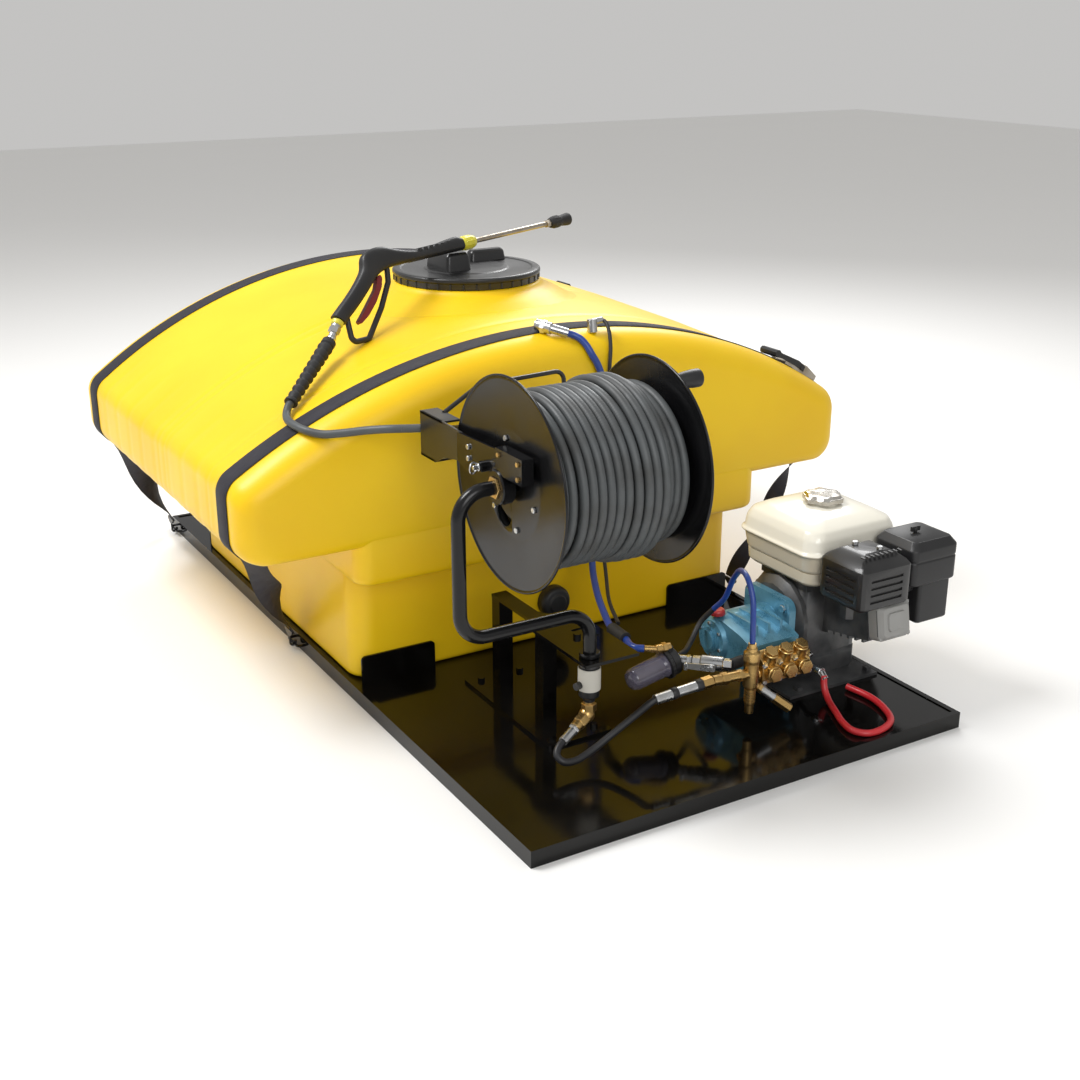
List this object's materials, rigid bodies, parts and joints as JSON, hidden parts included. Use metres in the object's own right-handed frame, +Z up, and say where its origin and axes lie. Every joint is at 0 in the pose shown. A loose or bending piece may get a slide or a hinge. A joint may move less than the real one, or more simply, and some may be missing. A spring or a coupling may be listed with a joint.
{
  "type": "skid-mounted pressure washer",
  "caption": "Skid deck with a saddle-shaped water tank under ratchet straps, a swing-out hose reel, a spray gun, and a petrol engine driving a plunger pump.",
  "frame": {"origin": "centre of the deck frame's underside", "axes": "+Z up; +X to the right seen from the tail; +Y from the tail, where the engine and reel stand, towards the tank"},
  "size_m": [1.8106, 2.4, 1.0928],
  "materials": {
    "glossBlack": "gloss powder coat",
    "tankYellow": "satin moulded polyethylene",
    "satinBlack": "satin paint",
    "zinc": "zinc plated",
    "webbing": "woven polyester webbing",
    "brass": "machined brass",
    "hoseGrey": "smooth grey hose cover",
    "plasticBlack": "moulded, lightly textured",
    "capRed": "moulded",
    "collarYellow": "moulded",
    "steel": "drawn tube",
    "rubberBlack": "moulded rubber",
    "engineGrey": "cast and machined",
    "tankWhite": "cream enamel",
    "hoseRed": "red hose cover",
    "pumpBlue": "metallic blue paint",
    "hoseBlue": "blue hose cover",
    "filterSmoke": "smoked clear plastic",
    "hoseBlack": "black hose cover"
  },
  "bodies": {
    "skid": {"deck_frame": "glossBlack", "deck_plate": "glossBlack", "tank_shell": "tankYellow", "ratchet_frame_front": "zinc", "ratchet_frame_rear": "zinc", "strap_front": "webbing", "strap_rear": "webbing", "strap_tail_front": "webbing", "strap_tail_rear": "webbing", "hook_front_left": "satinBlack", "hook_rear_left": "satinBlack", "hook_front_right": "satinBlack", "hook_rear_right": "satinBlack", "reel_stand": "glossBlack", "swivel_housing": "satinBlack", "swivel_elbow": "brass", "gun_body": "plasticBlack", "gun_collar": "collarYellow", "gun_lance": "steel", "gun_inlet": "zinc", "bend_restrictor": "rubberBlack", "gun_hose": "hoseGrey", "engine_block": "engineGrey", "fuel_tank": "tankWhite", "muffler_guard": "satinBlack", "air_cleaner": "plasticBlack", "recoil_cover": "satinBlack", "drain_hose": "hoseRed", "pump_crankcase": "pumpBlue", "pump_manifold": "brass", "unloader": "brass", "injector": "brass", "bypass_hose": "hoseBlue", "filter_head": "plasticBlack", "feed_hose": "hoseBlue", "vent_hose": "hoseBlack", "pressure_hose": "hoseBlack", "suction_valve": "zinc"},
    "lid": {"tank_lid": "satinBlack"},
    "ratchet_lever_front": {"ratchet_handle_front": "zinc"},
    "ratchet_lever_rear": {"ratchet_handle_rear": "zinc"},
    "swing_arm": {"reel_arm": "glossBlack", "hose_guide": "satinBlack", "hose_lead": "hoseGrey"},
    "spool": {"reel_drum": "glossBlack", "reel_flange_left": "glossBlack", "reel_flange_right": "glossBlack", "hose_core": "hoseGrey", "wound_hose": "hoseGrey"},
    "knob": {"crank_knob": "plasticBlack"},
    "lock_pin": {"reel_lock_pin": "zinc"},
    "trigger": {"gun_trigger": "capRed"},
    "nozzle": {"nozzle_guard": "rubberBlack"},
    "fuel_lid": {"fuel_cap": "zinc"},
    "oil_lid": {"pump_oil_cap": "capRed"},
    "bowl": {"filter_bowl": "filterSmoke"},
    "valve_handle": {"valve_lever": "zinc"},
    "starter": {"recoil_handle": "plasticBlack"},
    "throttle": {"throttle_lever": "plasticBlack"},
    "stop_switch": {"engine_switch": "capRed"}
  },
  "joints": [
    {"name": "lid_turn", "type": "hinge", "parent": "skid", "child": "lid", "pos_m": [0, 0.196, 0.946], "axis": [0, 0, 1], "continuous": true},
    {"name": "ratchet_front", "type": "hinge", "parent": "skid", "child": "ratchet_lever_front", "pos_m": [0.81409, -0.271, 0.68984], "axis": [0, 1, 0], "range_deg": [0, 120]},
    {"name": "ratchet_rear", "type": "hinge", "parent": "skid", "child": "ratchet_lever_rear", "pos_m": [0.81515, 0.864, 0.68946], "axis": [0, 1, 0], "range_deg": [0, 120]},
    {"name": "reel_swing", "type": "hinge", "parent": "skid", "child": "swing_arm", "pos_m": [-0.2775, -0.897, 0.282], "axis": [0, 0, 1], "range_deg": [-90, 90]},
    {"name": "reel_spin", "type": "hinge", "parent": "swing_arm", "child": "spool", "pos_m": [-0.3065, -0.897, 0.725], "axis": [1, 0, 0], "continuous": true},
    {"name": "knob_spin", "type": "hinge", "parent": "spool", "child": "knob", "pos_m": [-0.0915, -0.975, 0.918], "axis": [1, 0, 0], "continuous": true},
    {"name": "lock_pin_pull", "type": "slide", "parent": "swing_arm", "child": "lock_pin", "axis": [-1, 0, 0], "range_m": [0, 0.012], "stiffness_N_per_m": 400, "springref_m": -0.01},
    {"name": "trigger_squeeze", "type": "hinge", "parent": "skid", "child": "trigger", "pos_m": [-0.34754, 0.04361, 0.99663], "axis": [-0.2239, 0.9, -0.374], "range_deg": [0, 8], "stiffness_Nm_per_rad": 1.5, "springref_deg": -11.46},
    {"name": "nozzle_twist", "type": "hinge", "parent": "skid", "child": "nozzle", "pos_m": [0.33141, 0.2441, 1.07273], "axis": [0.963, 0.2634, 0.0576], "range_deg": [0, 90]},
    {"name": "fuel_cap_turn", "type": "hinge", "parent": "skid", "child": "fuel_lid", "pos_m": [0.5215, -0.751, 0.484], "axis": [0, 0, 1], "range_deg": [0, 90]},
    {"name": "oil_cap_turn", "type": "hinge", "parent": "skid", "child": "oil_lid", "pos_m": [0.1865, -0.764, 0.24], "axis": [0, 0, 1], "continuous": true},
    {"name": "bowl_turn", "type": "hinge", "parent": "skid", "child": "bowl", "pos_m": [-0.0702, -0.838, 0.1667], "axis": [-0.9787, 0, -0.2055], "continuous": true},
    {"name": "valve_turn", "type": "hinge", "parent": "skid", "child": "valve_handle", "pos_m": [0.04256, -0.93144, 0.189], "axis": [-0.7257, -0.688, 0], "range_deg": [-90, 0]},
    {"name": "starter_pull", "type": "slide", "parent": "skid", "child": "starter", "axis": [1, 0, 0], "range_m": [0, 0.7], "stiffness_N_per_m": 20, "springref_m": -0.5},
    {"name": "throttle_turn", "type": "hinge", "parent": "skid", "child": "throttle", "pos_m": [0.5825, -0.906, 0.27], "axis": [0, 1, 0], "range_deg": [-25, 25]},
    {"name": "switch_turn", "type": "hinge", "parent": "skid", "child": "stop_switch", "pos_m": [0.6448, -0.89, 0.256], "axis": [0, 1, 0], "range_deg": [0, 45]}
  ]
}
